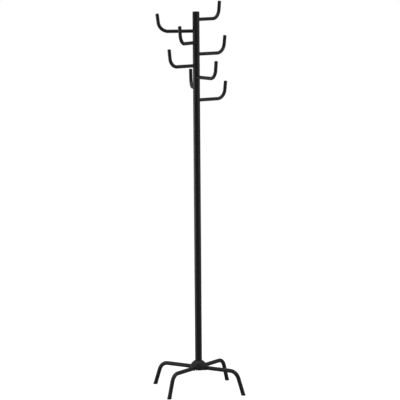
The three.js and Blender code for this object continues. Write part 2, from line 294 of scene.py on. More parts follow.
def dome_corners(edge, radius, height, steps):
    """Corners on a quarter of an ellipse from its edge up to its crown on the axis."""
    made = []
    for step in range(steps + 1):
        angle = math.pi / 2 * step / steps
        across = radius * math.cos(angle) if step < steps else 0
        made.append((edge + height * math.sin(angle), across, 0))
    return made


print("an arc of", ARC_STEPS, "steps rounds each corner")

# %% [markdown]
# ## Drills and cutters
# The pole is drilled for the hooks' nuts, the legs for their screws, and the cover has a notch for
# each leg. Those cuts follow curved surfaces, so a Boolean modifier makes them: it works out where a
# cutter's skin passes through the piece's skin. The exact solver is slower than the others, but it
# leaves clean closed meshes. The modifier is applied at once, so that the finished mesh is what the
# piece carries, and the cutters are thrown away.

# %% Cut and join solids
WELD = 0.002 * MM  # points that a cut leaves closer than this become one


def carve(piece, tools, operation="DIFFERENCE"):
    """Cuts the tools out of the piece, or joins them to it, and removes them."""
    for tool in tools:
        modifier = piece.modifiers.new("cut", "BOOLEAN")
        modifier.operation = operation
        modifier.solver = "EXACT"
        modifier.object = tool
    bpy.context.view_layer.update()
    whole = bpy.data.meshes.new_from_object(
        piece.evaluated_get(bpy.context.evaluated_depsgraph_get()))
    piece.modifiers.clear()
    worn_out, piece.data = piece.data, whole
    bpy.data.meshes.remove(worn_out)
    for tool in tools:
        bpy.data.meshes.remove(tool.data)
    builder = bmesh.new()
    builder.from_mesh(whole)
    bmesh.ops.remove_doubles(builder, verts=builder.verts, dist=WELD)
    builder.to_mesh(whole)
    builder.free()
    whole.shade_smooth()
    whole.set_sharp_from_angle(angle=SHARP)
    return piece


def drill(radius, near, far, sides=40, place=Matrix()):
    """A round cutter on the upright axis between two heights, moved to its place."""
    cutter = round_piece("cutter", upright, [
        (near, 0, 0), (near, radius, 0), (far, radius, 0), (far, 0, 0)], sides)
    cutter.data.transform(place)
    return cutter


def quarter_turn(quarter):
    """Turns a piece that was made for the first leg round to another leg."""
    return Matrix.Rotation(quarter * math.pi / 2, 4, "Z")


LAY_ALONG_X = Matrix.Rotation(math.pi / 2, 4, "Y")

# %% [markdown]
# ## Effects that several finishes share
# A shader node group is a small machine with named inputs and outputs. It is built once and placed
# in as many materials as need it, each with its own settings. Four effects are shared here. Grain is
# the fine relief of a coating or a mould. Clouds are slow changes of gloss, from handling and from
# the way that powder melts. Rubbing is the wear that shows first along edges. The fourth is a pale
# veil on what faces up: partly dust that settles there, and partly a painted highlight that lightens
# the tops as light from above would. The noise in all of them reads Object coordinates, which are
# metres on this rack, so a grain size is a true size. The groups only give masks and heights. The
# shader itself stays in each material, where anyone who opens the file looks for it.

# %% Build nodes and groups in code
def add_node(tree, kind, inputs=None, **settings):
    """Adds a node to a tree. Each input takes a value, or another node's output to link."""
    made = tree.nodes.new(kind)
    for name, value in settings.items():
        setattr(made, name, value)
    for socket, value in (inputs or {}).items():
        if isinstance(value, bpy.types.NodeSocket):
            tree.links.new(value, made.inputs[socket])
        else:
            made.inputs[socket].default_value = value
    return made


def add_math(tree, operation, *values):
    """Adds a Math node and gives its output."""
    return add_node(tree, "ShaderNodeMath", dict(enumerate(values)),
                    operation=operation).outputs[0]


def start_group(name, inputs, output):
    """Starts a node group with float inputs and one float output."""
    group = bpy.data.node_groups.new(name, "ShaderNodeTree")
    for label, value in inputs.items():
        socket = group.interface.new_socket(
            name=label, in_out="INPUT", socket_type="NodeSocketFloat")
        socket.default_value = value
    group.interface.new_socket(name=output, in_out="OUTPUT", socket_type="NodeSocketFloat")
    return group, group.nodes.new("NodeGroupInput").outputs, group.nodes.new("NodeGroupOutput")


def noise_of(tree, size, detail=2.0, roughness=0.5):
    """Noise in Object coordinates whose blotches are about size metres across."""
    where = add_node(tree, "ShaderNodeTexCoord").outputs["Object"]
    return add_node(tree, "ShaderNodeTexNoise", {
        "Vector": where, "Scale": add_math(tree, "DIVIDE", 1.0, size),
        "Detail": detail, "Roughness": roughness}).outputs[0]


# %% Grain: the relief of a coating or of a mould
grain, given, result = start_group(
    "grain", {"Grain Size": 1 * MM, "Cells": 0.0}, "Height")
where = add_node(grain, "ShaderNodeTexCoord").outputs["Object"]
ripple = noise_of(grain, given["Grain Size"], detail=3.0, roughness=0.55)
cells = add_node(grain, "ShaderNodeTexVoronoi", {
    "Vector": where, "Scale": add_math(grain, "DIVIDE", 1.0, given["Grain Size"])},
    feature="SMOOTH_F1").outputs["Distance"]
blend = add_node(grain, "ShaderNodeMix", {
    "Factor": given["Cells"], "A": ripple, "B": cells}, data_type="FLOAT").outputs[0]
grain.links.new(blend, result.inputs["Height"])
print("grain group:", len(grain.nodes), "nodes")

# %% Clouds: slow changes between two levels of a value
clouds, given, result = start_group(
    "clouds", {"Cloud Size": 30 * MM, "Lowest": 0.3, "Highest": 0.5}, "Value")
slow = noise_of(clouds, given["Cloud Size"], detail=4.0, roughness=0.6)
level = add_node(clouds, "ShaderNodeMapRange", {
    "Value": slow, "From Min": 0.3, "From Max": 0.7,
    "To Min": given["Lowest"], "To Max": given["Highest"]}).outputs[0]
clouds.links.new(level, result.inputs["Value"])
print("clouds group:", len(clouds.nodes), "nodes")

# %% Rubbing: wear that follows the edge value stored in a mesh
rubbing, given, result = start_group(
    "rubbing", {"Edge": 0.0, "Amount": 0.3, "Patch Size": 4 * MM}, "Mask")
broken = noise_of(rubbing, given["Patch Size"], detail=5.0, roughness=0.65)
raised = add_math(rubbing, "ADD", add_math(rubbing, "MULTIPLY", given["Edge"], 0.55), broken)
rubbed = add_node(rubbing, "ShaderNodeMapRange", {
    "Value": raised, "From Min": 0.85, "From Max": 1.1,
    "To Min": 0.0, "To Max": given["Amount"]}).outputs[0]
rubbing.links.new(rubbed, result.inputs["Mask"])
print("rubbing group:", len(rubbing.nodes), "nodes")

# %% Dust and a painted top highlight: a thin pale veil on what faces up
dust_and_top_highlight, given, result = start_group(
    "dust_and_top_highlight", {"Amount": 0.05, "Speck Size": 0.8 * MM}, "Mask")
facing = add_node(dust_and_top_highlight, "ShaderNodeNewGeometry").outputs["Normal"]
upward = add_node(dust_and_top_highlight, "ShaderNodeSeparateXYZ", {"Vector": facing}).outputs["Z"]
specks = noise_of(dust_and_top_highlight, given["Speck Size"], detail=4.0, roughness=0.7)
# the veil is partly dust and partly a painted highlight that lightens up-facing tops as light from
# above would
dust_and_top_highlight_veil = add_node(dust_and_top_highlight, "ShaderNodeMapRange", {
    "Value": add_math(dust_and_top_highlight, "MULTIPLY", upward, specks),
    "From Min": 0.1, "From Max": 0.6,
    "To Min": 0.0, "To Max": given["Amount"]}).outputs[0]
dust_and_top_highlight.links.new(dust_and_top_highlight_veil, result.inputs["Mask"])
print("dust group:", len(dust_and_top_highlight.nodes), "nodes")

# %% [markdown]
# ## One way to mix a finish
# Every finish on the rack is layered in the same order, so one function mixes them all: a base
# colour that drifts slightly, a second colour where edges are rubbed, and a pale veil on top that is
# partly dust and partly a painted highlight on what faces up. Gloss comes from the clouds, and the
# grain goes to a Bump node. What is the same all over a surface, such as metal or plastic, is set on
# the Principled shader's own socket.

# %% Mix a finish
# pale grey of the veil on up-facing tops: partly settled dust, partly a painted highlight
DUST_AND_TOP_HIGHLIGHT_COLOUR = (0.16, 0.155, 0.145, 1)
DRIFT = 1.7  # the colour drifts in larger clouds than the gloss


def mix_colour(tree, mask, below, above):
    """Lays one colour over another where the mask is bright."""
    return add_node(tree, "ShaderNodeMix", {"Factor": mask, "A": below, "B": above},
                    data_type="RGBA").outputs["Result"]


def make_finish(name, colours, rubbed_colour, gloss, grain_size, grain_depth, cells=0.0,
                cloud_size=30 * MM, rub=0.3, dust_and_highlight_amount=0.05, metal=0.0, shine=0.5):
    """A material of base colour, rubbed edges, dust with a painted top highlight, clouded gloss and
    grain.
    """
    material = bpy.data.materials.new(name)
    material.use_nodes = True
    tree = material.node_tree
    tree.nodes.clear()
    drift = add_node(tree, "ShaderNodeGroup", {
        "Cloud Size": cloud_size * DRIFT, "Lowest": 0.0, "Highest": 1.0}, node_tree=clouds)
    edge = add_node(tree, "ShaderNodeAttribute", attribute_name="edge").outputs["Fac"]
    worn = add_node(tree, "ShaderNodeGroup", {"Edge": edge, "Amount": rub}, node_tree=rubbing)
    # mask of the pale veil on what faces up, partly dust and partly a painted highlight on the tops
    dust_and_top_highlight_veil = add_node(tree, "ShaderNodeGroup", {"Amount": dust_and_highlight_amount}, node_tree=dust_and_top_highlight)
    base = mix_colour(tree, drift.outputs[0], (*colours[0], 1), (*colours[1], 1))
    base = mix_colour(tree, worn.outputs[0], base, (*rubbed_colour, 1))
    base = mix_colour(tree, dust_and_top_highlight_veil.outputs[0], base, DUST_AND_TOP_HIGHLIGHT_COLOUR)
    sheen_map = add_node(tree, "ShaderNodeGroup", {
        "Cloud Size": cloud_size, "Lowest": gloss[0], "Highest": gloss[1]}, node_tree=clouds)
    relief = add_node(tree, "ShaderNodeGroup", {
        "Grain Size": grain_size, "Cells": cells}, node_tree=grain)
    bump = add_node(tree, "ShaderNodeBump", {
        "Height": relief.outputs[0], "Distance": grain_depth, "Strength": 1.0})
    shader = add_node(tree, "ShaderNodeBsdfPrincipled", {
        "Base Color": base, "Roughness": sheen_map.outputs[0], "Normal": bump.outputs[0],
        "Metallic": metal, "Specular IOR Level": shine})
    add_node(tree, "ShaderNodeOutputMaterial", {"Surface": shader.outputs[0]})
    print(f"finish {name}: {len(tree.nodes)} nodes")
    return material


# %% [markdown]
# ## The six finishes
# The tubes are powder-coated: the powder melts into a satin black skin with a faint orange-peel
# ripple about a millimetre across and a few hundredths deep. The tips and the pole's cap are smooth
# moulded plastic, a shade deeper. The cover over the hub has a pebbled grain, which hides scratches
# and scatters light in small points, and its black is mottled in blotches a centimetre or so across.
# The feet are dull rubber. The sockets and the hub are blackened steel, and the fasteners are
# bright zinc.

# %% Make the six finishes
finishes = {
    "powder_coat": make_finish(
        "satin_powder_coat", colours=((0.0060, 0.0060, 0.0063), (0.0085, 0.0085, 0.0088)),
        rubbed_colour=(0.05, 0.05, 0.052),
        gloss=(0.4, 0.5), grain_size=1.1 * MM, grain_depth=0.035 * MM,
        rub=0.35, dust_and_highlight_amount=0.04, shine=0.25),
    "black_plastic": make_finish(
        "smooth_black_plastic", colours=((0.0045, 0.0045, 0.0047), (0.0065, 0.0065, 0.0067)),
        rubbed_colour=(0.03, 0.03, 0.031),
        gloss=(0.36, 0.48), grain_size=0.35 * MM, grain_depth=0.008 * MM,
        rub=0.25, dust_and_highlight_amount=0.05, shine=0.25),
    "cover_plastic": make_finish(
        "pebbled_cover_plastic", colours=((0.0010, 0.0010, 0.0010), (0.036, 0.036, 0.0365)),
        rubbed_colour=(0.04, 0.04, 0.042),
        gloss=(0.34, 0.72), grain_size=2.4 * MM, grain_depth=0.25 * MM,
        cells=0.65, cloud_size=7 * MM, rub=0.3, dust_and_highlight_amount=0.02, shine=0.13),
    "foot_rubber": make_finish(
        "dull_foot_rubber", colours=((0.005, 0.005, 0.005), (0.009, 0.009, 0.0088)),
        rubbed_colour=(0.03, 0.03, 0.028),
        gloss=(0.62, 0.78), grain_size=0.5 * MM, grain_depth=0.03 * MM,
        cells=0.2, cloud_size=9 * MM, rub=0.4, dust_and_highlight_amount=0.14, shine=0.2),
    "dark_steel": make_finish(
        "blackened_steel", colours=((0.018, 0.018, 0.019), (0.03, 0.029, 0.028)),
        rubbed_colour=(0.2, 0.195, 0.19),
        gloss=(0.3, 0.48), grain_size=0.6 * MM, grain_depth=0.012 * MM,
        cloud_size=12 * MM, rub=0.6, dust_and_highlight_amount=0.03, metal=0.75),
    "zinc_steel": make_finish(
        "bright_zinc_steel", colours=((0.5, 0.51, 0.52), (0.62, 0.62, 0.6)),
        rubbed_colour=(0.75, 0.75, 0.74),
        gloss=(0.24, 0.42), grain_size=0.4 * MM, grain_depth=0.008 * MM,
        cloud_size=7 * MM, rub=0.5, dust_and_highlight_amount=0.02, metal=1.0),
}

# %% [markdown]
# ## Hand a finished piece to the frame
# A new piece has to ride on the CAD body that it belongs to, and to say which CAD node it stands for
# and which material slot its finish comes from. This rack has no joints, so its one body is root. The
# node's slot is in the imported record. The piece keeps the node's name with a short ending, and its
# box is held against the node's box, which shows at once if a size was copied wrongly.

# %% Settle a piece
slot_of = {entry["node"]: entry["material_slot"] for entry in frame["record"]["subparts"]}
mismatch = {}


def settle(piece, node, place=Matrix()):
    """Moves the piece's mesh to its place, and lets it stand for a CAD node."""
    piece.data.transform(place)
    piece.data.update()
    piece.name = f"{node}.visual"
    piece.data.materials.clear()
    piece.data.materials.append(finishes[slot_of[node]])
    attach(piece, "root")
    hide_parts(node)
    corners = [vertex.co for vertex in piece.data.vertices]
    mismatch[node] = max(
        abs(pick(corner[axis] for corner in corners) - at[axis])
        for pick, at in ((min, low(node)), (max, high(node))) for axis in range(3))
    print(f"{piece.name}: {len(piece.data.polygons)} faces, "
          f"box within {mismatch[node] / MM:.2f} mm of the CAD's")
    return piece


# %% [markdown]
# ## The pole
# The pole comes in a flat box, so it is three lengths of 32 mm steel tube with a 1.5 mm wall. Each is
# a ring train that runs up the outside and back down the bore. The top length has a hole for each
# hook's nut. A hole disturbs the smooth shading of the long faces round it, so rings are set just
# above and below each hole, and only the short faces between them are cut. The hook's root covers
# those.

# %% The three pole sections
POLE_SIDES = 96
POLE_WALL = 1.5 * MM
POLE_BORE = POLE_RADIUS - POLE_WALL
POLE_EDGE = 0.45 * MM
NUT_HOLE = 5.7 * MM
HOLE_SIDES = 32
HOLE_MARGIN = 7 * MM  # hole's axis to the rings that hold its cut


def pole_section(node, stops=()):
    """One length of the pole's tube, between the heights that the CAD gives."""
    return round_piece(node, upright, tube_corners(
        low(node).z, high(node).z, POLE_RADIUS, POLE_BORE, POLE_EDGE),
        POLE_SIDES, closed=True, stops=stops)


for node in ("pole_lower", "pole_middle"):
    settle(pole_section(node), node)

hole_rings = [height + offset for _, height in hooks.values()
              for offset in (-HOLE_MARGIN, HOLE_MARGIN)]
hole_drills = [
    drill(NUT_HOLE, POLE_BORE / 2, POLE_RADIUS * 1.5, HOLE_SIDES,
          Matrix.Translation((0, 0, height))
          @ Matrix.Rotation(math.radians(heading), 4, "Z") @ LAY_ALONG_X)
    for heading, height in hooks.values()]
settle(carve(pole_section("pole_upper", hole_rings), hole_drills), "pole_upper")

# %% [markdown]
# ## The joints between the sections
# Where two lengths meet, a threaded socket is pressed into the lower one. Its flange keeps the tubes
# apart, and shows as a fine dark ring that sits a little inside the pole's outside. The
# whole socket is turned here, with the bore that the stud screws into, because a ring alone would
# leave a gap for light to shine through.

# %% The two sockets
SEAT_RADIUS = POLE_BORE - GAP  # of everything that is pressed into the pole
STUD_BORE = 5.3 * MM
SOCKET_SIDES = 72
for joint, section in (("upper_joint_socket", "pole_middle"), ("lower_joint_socket", "pole_lower")):
    seat = high(section).z + GAP
    flange = high(joint).x
    settle(round_piece(joint, upright, [
        (low(joint).z, STUD_BORE, 0.3 * MM),
        (low(joint).z, SEAT_RADIUS, 0.4 * MM),
        (seat, SEAT_RADIUS, 0),
        (seat, flange, 0.25 * MM),
        (high(joint).z, flange, 0.25 * MM),
        (high(joint).z, STUD_BORE, 0.3 * MM),
    ], SOCKET_SIDES, closed=True), joint)

# %% [markdown]
# ## The cap in the top of the pole
# A moulded plug closes the tube. It has a straight rim as wide as the pole, a low dome and, under
# them, a hollow stem that grips the bore. A small dimple in the middle of the dome is where the
# plastic was let into the mould. It's only a fraction of a millimetre deep, but moulded parts
# nearly always have one, and it breaks up an otherwise perfect dome.

# %% The pole's cap
CAP_CROWN = 3.4 * MM
CAP_WALL = 2 * MM
DOME_STEPS = 18
DIMPLE_LIP = 1.4  # radius of a dimple's lip, as a share of the dimple's own
LIP_MARGIN = 1.3  # the dome's rings stop at this share of the lip's radius


def domed_head(edge, radius, height, dimple, depth):
    """Corners of a dome from its edge up to a round dimple in its crown."""
    lip = dimple * DIMPLE_LIP
    crown = edge + height * math.sqrt(1 - (lip / radius) ** 2)
    dome = [corner for corner in dome_corners(edge, radius, height, DOME_STEPS)
            if corner[1] > lip * LIP_MARGIN]
    return dome + [(crown, lip, 0.25 * MM), (crown - depth, dimple, 0.2 * MM),
                   (crown - depth, 0, 0)]


cap_seat = high("pole_upper").z + GAP
settle(round_piece("cap", upright, [
    (cap_seat, 0, 0),
    (cap_seat, SEAT_RADIUS - CAP_WALL, 0.4 * MM),
    (low("pole_top_cap").z, SEAT_RADIUS - CAP_WALL, 0.3 * MM),
    (low("pole_top_cap").z, SEAT_RADIUS, 0.6 * MM),
    (cap_seat, SEAT_RADIUS, 0),
    (cap_seat, POLE_RADIUS, 0.3 * MM),
] + domed_head(high("pole_top_cap").z - CAP_CROWN, POLE_RADIUS, CAP_CROWN,
               dimple=1.4 * MM, depth=0.25 * MM),
    POLE_SIDES), "pole_top_cap")

# %% [markdown]
# ## The hooks
# Each hook is 16 mm tube, bent once on a wide radius so that its end stands almost upright. Its root
# isn't sawn square. It's coped, which means cut to the round of the pole, so that it sits tight
# against it all the way round. The train of rings is first made with a square end, and then
# every point near the root is drawn back by as much as the pole's surface curves away there. The draw
# fades out along the arm, so that the rings beyond stay true.

# %% Cope a root to the pole
COPE_RADIUS = POLE_RADIUS + GAP
COPE_FADE = 14 * MM


def cope(piece):
    """Draws the root of a tube that lies along +X back to the round of the pole."""
    for vertex in piece.data.vertices:
        x, y, _ = vertex.co
        share = (x - COPE_RADIUS) / COPE_FADE
        if share < 1:
            share = max(share, 0)
            drawn = COPE_RADIUS - math.sqrt(COPE_RADIUS ** 2 - y ** 2)
            vertex.co.x -= drawn * (1 - share * share * (3 - 2 * share))
    return piece


# %% The eight hooks and their tips
HOOK_SIDES = 48
TUBE_EDGE = 0.35 * MM  # on the cut ends of hooks and legs
TIP_PROUD = 0.3 * MM
TIP_RADIUS = HOOK_RADIUS + TIP_PROUD
TIP_RIM = 1.5 * MM
TIP_DOME = TIP_HEAD - TIP_RIM - 0.1 * MM  # a hair low, so the dimple's lip stays inside the box
TIP_STEM = 10 * MM
tube_end = hook_crown - TIP_HEAD - GAP
tip_seat = hook_crown - TIP_HEAD
root_rings = [COPE_RADIUS + COPE_FADE * share for share in (0.25, 0.5, 0.75, 1)]

for number, (heading, height) in hooks.items():
    place = (Matrix.Translation((0, 0, height))
             @ Matrix.Rotation(math.radians(heading), 4, "Z"))
    arm = round_piece("arm", hook_line, tube_corners(
        COPE_RADIUS, tube_end, HOOK_RADIUS, HOOK_BORE, TUBE_EDGE),
        HOOK_SIDES, closed=True, stops=root_rings + hook_line.stops)
    settle(cope(arm), f"hook_{number}_tube", place)
    tip = round_piece("tip", hook_line, [
        (tip_seat - TIP_STEM, 0, 0),
        (tip_seat - TIP_STEM, HOOK_BORE - GAP, 0.8 * MM),
        (tip_seat, HOOK_BORE - GAP, 0),
        (tip_seat, TIP_RADIUS, 0.35 * MM),
    ] + domed_head(tip_seat + TIP_RIM, TIP_RADIUS, TIP_DOME, dimple=0.9 * MM, depth=0.2 * MM),
        HOOK_SIDES)
    settle(tip, f"hook_{number}_tip", place)

# %% [markdown]
# ## The legs and their feet
# The four legs are 19 mm tube with one bend each. A leg slides over a spigot of the hub, and a screw
# from below holds it, so the tube has a hole on its underside. The foot is a rubber plug pushed into
# the end. Its head is barely wider than the tube, with a shallow groove round it. The leg
# meets the floor at a slant, so the head is made too long and the floor's plane then cuts it. That
# gives a level sole, short on the inside and long on the outside, which is what the rack stands on.

# %% The four legs
LEG_SIDES = 56
FOOT_PROUD = 0.5 * MM
FOOT_RADIUS = LEG_RADIUS + FOOT_PROUD
FOOT_SOLE = 3 * MM  # shortest side of a foot's head
FOOT_STEM = 14 * MM
SCREW_PLACE = middle("leg_screw_1").x
SCREW_HOLE = 2.8 * MM
SCREW_MARGIN = 5 * MM  # hole's axis to the rings that hold its cut

floor_distance = ARM_HEIGHT / math.cos(LEG_SPLAY)  # from the leg's corner to the floor
foot_seat = (leg_line.past_corner + floor_distance
             - FOOT_RADIUS * math.tan(LEG_SPLAY) - FOOT_SOLE)
leg_start = low("leg_1").x
screw_rings = [SCREW_PLACE - SCREW_MARGIN, SCREW_PLACE + SCREW_MARGIN]

for number in range(1, 5):
    leg = round_piece("leg", leg_line, tube_corners(
        leg_start, foot_seat - GAP, LEG_RADIUS, LEG_BORE, TUBE_EDGE),
        LEG_SIDES, closed=True, stops=screw_rings + leg_line.stops)
    hole = drill(SCREW_HOLE, ARM_HEIGHT - 2 * LEG_RADIUS, ARM_HEIGHT, HOLE_SIDES,
                 Matrix.Translation((SCREW_PLACE, 0, 0)))
    settle(carve(leg, [hole]), f"leg_{number}", quarter_turn(number - 1))

# %% The four feet
STEM_WALL = 2 * MM
STEM_RADIUS = LEG_BORE - GAP
GROOVE = 0.3 * MM
GROOVE_CORNERS = (  # of the groove round the head: (below the tube's end, depth)
    (1.3 * MM, 0), (1.5 * MM, GROOVE), (1.9 * MM, GROOVE), (2.1 * MM, 0))
SOLE_EDGE = 0.5 * MM


def foot_plug():
    """A plug in the end of the first leg, with its sole cut level with the floor."""
    plug = round_piece("plug", leg_line, [
        (foot_seat, 0, 0),
        (foot_seat, STEM_RADIUS - STEM_WALL, 0.4 * MM),
        (foot_seat - FOOT_STEM, STEM_RADIUS - STEM_WALL, 0.4 * MM),
        (foot_seat - FOOT_STEM, STEM_RADIUS, 0.6 * MM),
        (foot_seat, STEM_RADIUS, 0),
        (foot_seat, FOOT_RADIUS, 0.45 * MM),
        *[(foot_seat + below, FOOT_RADIUS - depth, 0.1 * MM) for below, depth in GROOVE_CORNERS],
        (foot_seat + 2 * FOOT_RADIUS, FOOT_RADIUS, 0),
        (foot_seat + 2 * FOOT_RADIUS, 0, 0),
    ], LEG_SIDES)
    builder = bmesh.new()
    builder.from_mesh(plug.data)
    everything = builder.verts[:] + builder.edges[:] + builder.faces[:]
    cut = bmesh.ops.bisect_plane(builder, geom=everything, plane_co=(0, 0, 0),
                                 plane_no=(0, 0, -1), clear_outer=True)
    rim = [part for part in cut["geom_cut"] if isinstance(part, bmesh.types.BMEdge)]
    bmesh.ops.contextual_create(builder, geom=rim)
    bmesh.ops.bevel(builder, geom=rim, offset=SOLE_EDGE, segments=3, affect="EDGES")
    builder.to_mesh(plug.data)
    builder.free()
    plug.data.shade_smooth()
    plug.data.set_sharp_from_angle(angle=SHARP)
    return plug


for number in range(1, 5):
    settle(foot_plug(), f"foot_cap_{number}", quarter_turn(number - 1))

# %% [markdown]
# ## The hub
# Under the cover is a square steel block. A recess in its top takes the foot of the pole, a recess
# in its underside takes the bolt that draws the pole down, and a round spigot points into each leg.
# From the usual height nobody sees it, but it shows to whoever tips the rack over. Its outline is a
# square with rounded corners, and the rings of a train don't have to be circles, so the same skin
# serves.

# %% The hub's block and spigots
HUB_HALF = 22 * MM
HUB_CORNER = 7 * MM
CORNER_STEPS = 8
SPIGOT_RADIUS = LEG_BORE - GAP
POLE_SEAT = 4 * MM
BOLT_RECESS = 8 * MM
BOLT_HOLE = 4.3 * MM
WASHER_HOLE = 9.8 * MM
hub_low, hub_high = low("base_hub").z, high("base_hub").z


def square_ring(height, inset):
    """A square outline with rounded corners, drawn in by inset."""
    points = []
    for quarter in range(4):
        for step in range(CORNER_STEPS + 1):
            angle = (quarter + step / CORNER_STEPS) * math.pi / 2
            way = Vector((math.cos(angle), math.sin(angle), 0))
            corner = Matrix.Rotation(quarter * math.pi / 2, 3, "Z") @ Vector((1, 1, 0))
            points.append(corner * (HUB_HALF - HUB_CORNER) + way * (HUB_CORNER - inset)
                          + Vector((0, 0, height)))
    return points


EASED = 0.8 * MM  # width of the block's bevelled edge
block = skin("block", [
    (square_ring(hub_low, EASED), 0.6), (square_ring(hub_low + EASED, 0), 1.0),
    (square_ring(hub_low + 2 * EASED, 0), 0.0), (square_ring(hub_high - 2 * EASED, 0), 0.0),
    (square_ring(hub_high - EASED, 0), 1.0), (square_ring(hub_high, EASED), 0.6),
], flat_ends=True)

spigots = []
for quarter in range(4):
    spigot = round_piece("spigot", upright, [
        (HUB_HALF / 2, 0, 0), (HUB_HALF / 2, SPIGOT_RADIUS, 0),
        (high("base_hub").x, SPIGOT_RADIUS, 1.0 * MM), (high("base_hub").x, 0, 0)], 48)
    spigot.data.transform(
        quarter_turn(quarter) @ Matrix.Translation((0, 0, ARM_HEIGHT)) @ LAY_ALONG_X)
    spigots.append(spigot)

screw_top = high("leg_screw_1").z
cuts = [drill(POLE_RADIUS + GAP, hub_high - POLE_SEAT, hub_high + POLE_SEAT, sides=64),
        drill(WASHER_HOLE, hub_low - POLE_SEAT, hub_low + BOLT_RECESS, sides=56),
        drill(BOLT_HOLE, hub_low, hub_high)]
cuts += [drill(SCREW_HOLE, hub_low - POLE_SEAT, screw_top + GAP, HOLE_SIDES,
               quarter_turn(quarter) @ Matrix.Translation((SCREW_PLACE, 0, 0)))
         for quarter in range(4)]
settle(carve(carve(block, spigots, "UNION"), cuts), "base_hub")

# %% [markdown]
# ## The cover
# The cover is a thin moulded dome that drops over the hub and hides it. It has a hole for
# the pole in its top and an arched notch for each leg in its edge. The dome is a ring train that
# goes up the outside, round the lip of the hole and back down the inside, so the wall is real.
# Each notch is cut by a long arch-shaped bar that passes right through, and takes out two
# notches at once.

# %% The domed cover
COVER_WALL = 2.5 * MM
COVER_HEIGHT = 45 * MM
COVER_ROOM = 11 * MM  # between the block's corners and the cover's inside
hub_reach = (HUB_HALF - HUB_CORNER) * math.sqrt(2) + HUB_CORNER  # axis to the block's corners
COVER_RADIUS = hub_reach + COVER_ROOM + COVER_WALL
COVER_STEPS = 28
COVER_SIDES = 144
ARCH_STEPS = 24
COVER_SLACK = 0.6 * MM
cover_edge = low("hub_cover").z
pole_hole = POLE_RADIUS + COVER_SLACK


def dome_arc(radius, height):
    """(distance, radius, rounding) corners from the cover's edge up to the pole's hole."""
    last = math.acos(pole_hole / radius)
    angles = [last * step / COVER_STEPS for step in range(COVER_STEPS + 1)]
    made = [(cover_edge + height * math.sin(angle), radius * math.cos(angle), 0)
            for angle in angles]
    made[0] = (*made[0][:2], 0.5 * MM)
    made[-1] = (*made[-1][:2], 0.5 * MM)
    return made


def arch_bar(reach):
    """A bar along X whose section is an arch as wide as a leg with its slack."""
    half = LEG_RADIUS + COVER_SLACK
    outline = [(half, ARM_HEIGHT - 2 * LEG_RADIUS)]
    for step in range(ARCH_STEPS + 1):
        angle = math.pi * step / ARCH_STEPS
        outline.append((half * math.cos(angle), ARM_HEIGHT + half * math.sin(angle)))
    outline.append((-half, ARM_HEIGHT - 2 * LEG_RADIUS))
    return skin("arch", [([Vector((x, y, z)) for y, z in outline], 0)
                         for x in (-reach, reach)], flat_ends=True)


outside = dome_arc(COVER_RADIUS, COVER_HEIGHT)
inside = dome_arc(COVER_RADIUS - COVER_WALL, COVER_HEIGHT - COVER_WALL)
cover = round_piece("cover", upright, outside + inside[::-1], COVER_SIDES, closed=True)
arches = [arch_bar(COVER_RADIUS + COVER_WALL) for _ in range(2)]
arches[1].data.transform(quarter_turn(1))
settle(carve(cover, arches), "hub_cover")

# %% [markdown]
# ## The fasteners under the base
# A hexagon-head bolt with a washer pulls the pole down into the hub, and a button-head screw with a
# hexagon socket holds each leg. A hexagon head isn't just a six-sided block. Its corners are
# turned off at about 30 degrees, which leaves an arc on each flat. Intersecting the block with
# a turned cone makes exactly that.

# %% The bolt and its washer
bolt_low, bolt_high = low("tie_bolt").z, high("tie_bolt").z
BOLT_RADIUS = 4 * MM
HEAD_RADIUS = 7.5 * MM  # across the hexagon's corners
HEAD_HEIGHT = 5.3 * MM
CHAMFER_RISE = 0.9 * MM
CHAMFER_START = 0.94  # where the turned chamfer begins, as a share of the flats' radius

hexagon = drill(HEAD_RADIUS, bolt_low, bolt_low + HEAD_HEIGHT, sides=6)
flat_radius = HEAD_RADIUS * math.cos(math.pi / 6)
cone_radius = HEAD_RADIUS + 0.1 * MM  # just clear of the hexagon's corners
turned_cone = round_piece("cone", upright, [
    (bolt_low, 0, 0), (bolt_low, flat_radius * CHAMFER_START, 0.3 * MM),
    (bolt_low + CHAMFER_RISE, cone_radius, 0),
    (bolt_low + 2 * HEAD_HEIGHT, cone_radius, 0),
    (bolt_low + 2 * HEAD_HEIGHT, 0, 0)], 72)
shank = round_piece("shank", upright, [
    (bolt_low + HEAD_HEIGHT / 2, 0, 0), (bolt_low + HEAD_HEIGHT / 2, BOLT_RADIUS, 0),
    (bolt_high, BOLT_RADIUS, 0.7 * MM), (bolt_high, 0, 0)], 40)
bolt = carve(carve(hexagon, [turned_cone], "INTERSECT"), [shank], "UNION")
settle(bolt, "tie_bolt")

settle(round_piece("washer", upright, tube_corners(
    low("tie_washer").z, high("tie_washer").z, high("tie_washer").x, BOLT_HOLE, 0.3 * MM),
    56, closed=True), "tie_washer")

# %% The four leg screws
SCREW_RADIUS = 2.5 * MM
SCREW_HEAD = 2.7 * MM
CROWN_STEPS = 8
CROWN_DEPTH = 0.75  # of the head's height is rounded
CROWN_FLAT = 0.45  # of the head's radius is flat
KEY_RADIUS = 1.5 * MM / math.cos(math.pi / 6)
head_low = low("leg_screw_1").z
head_radius = (high("leg_screw_1").y - low("leg_screw_1").y) / 2

crown_angles = [math.pi / 2 * step / CROWN_STEPS for step in range(CROWN_STEPS + 1)]
crown = [(head_low + SCREW_HEAD * (1 - math.cos(angle)) * CROWN_DEPTH,
          head_radius * (CROWN_FLAT + (1 - CROWN_FLAT) * math.sin(angle)), 0)
         for angle in crown_angles]

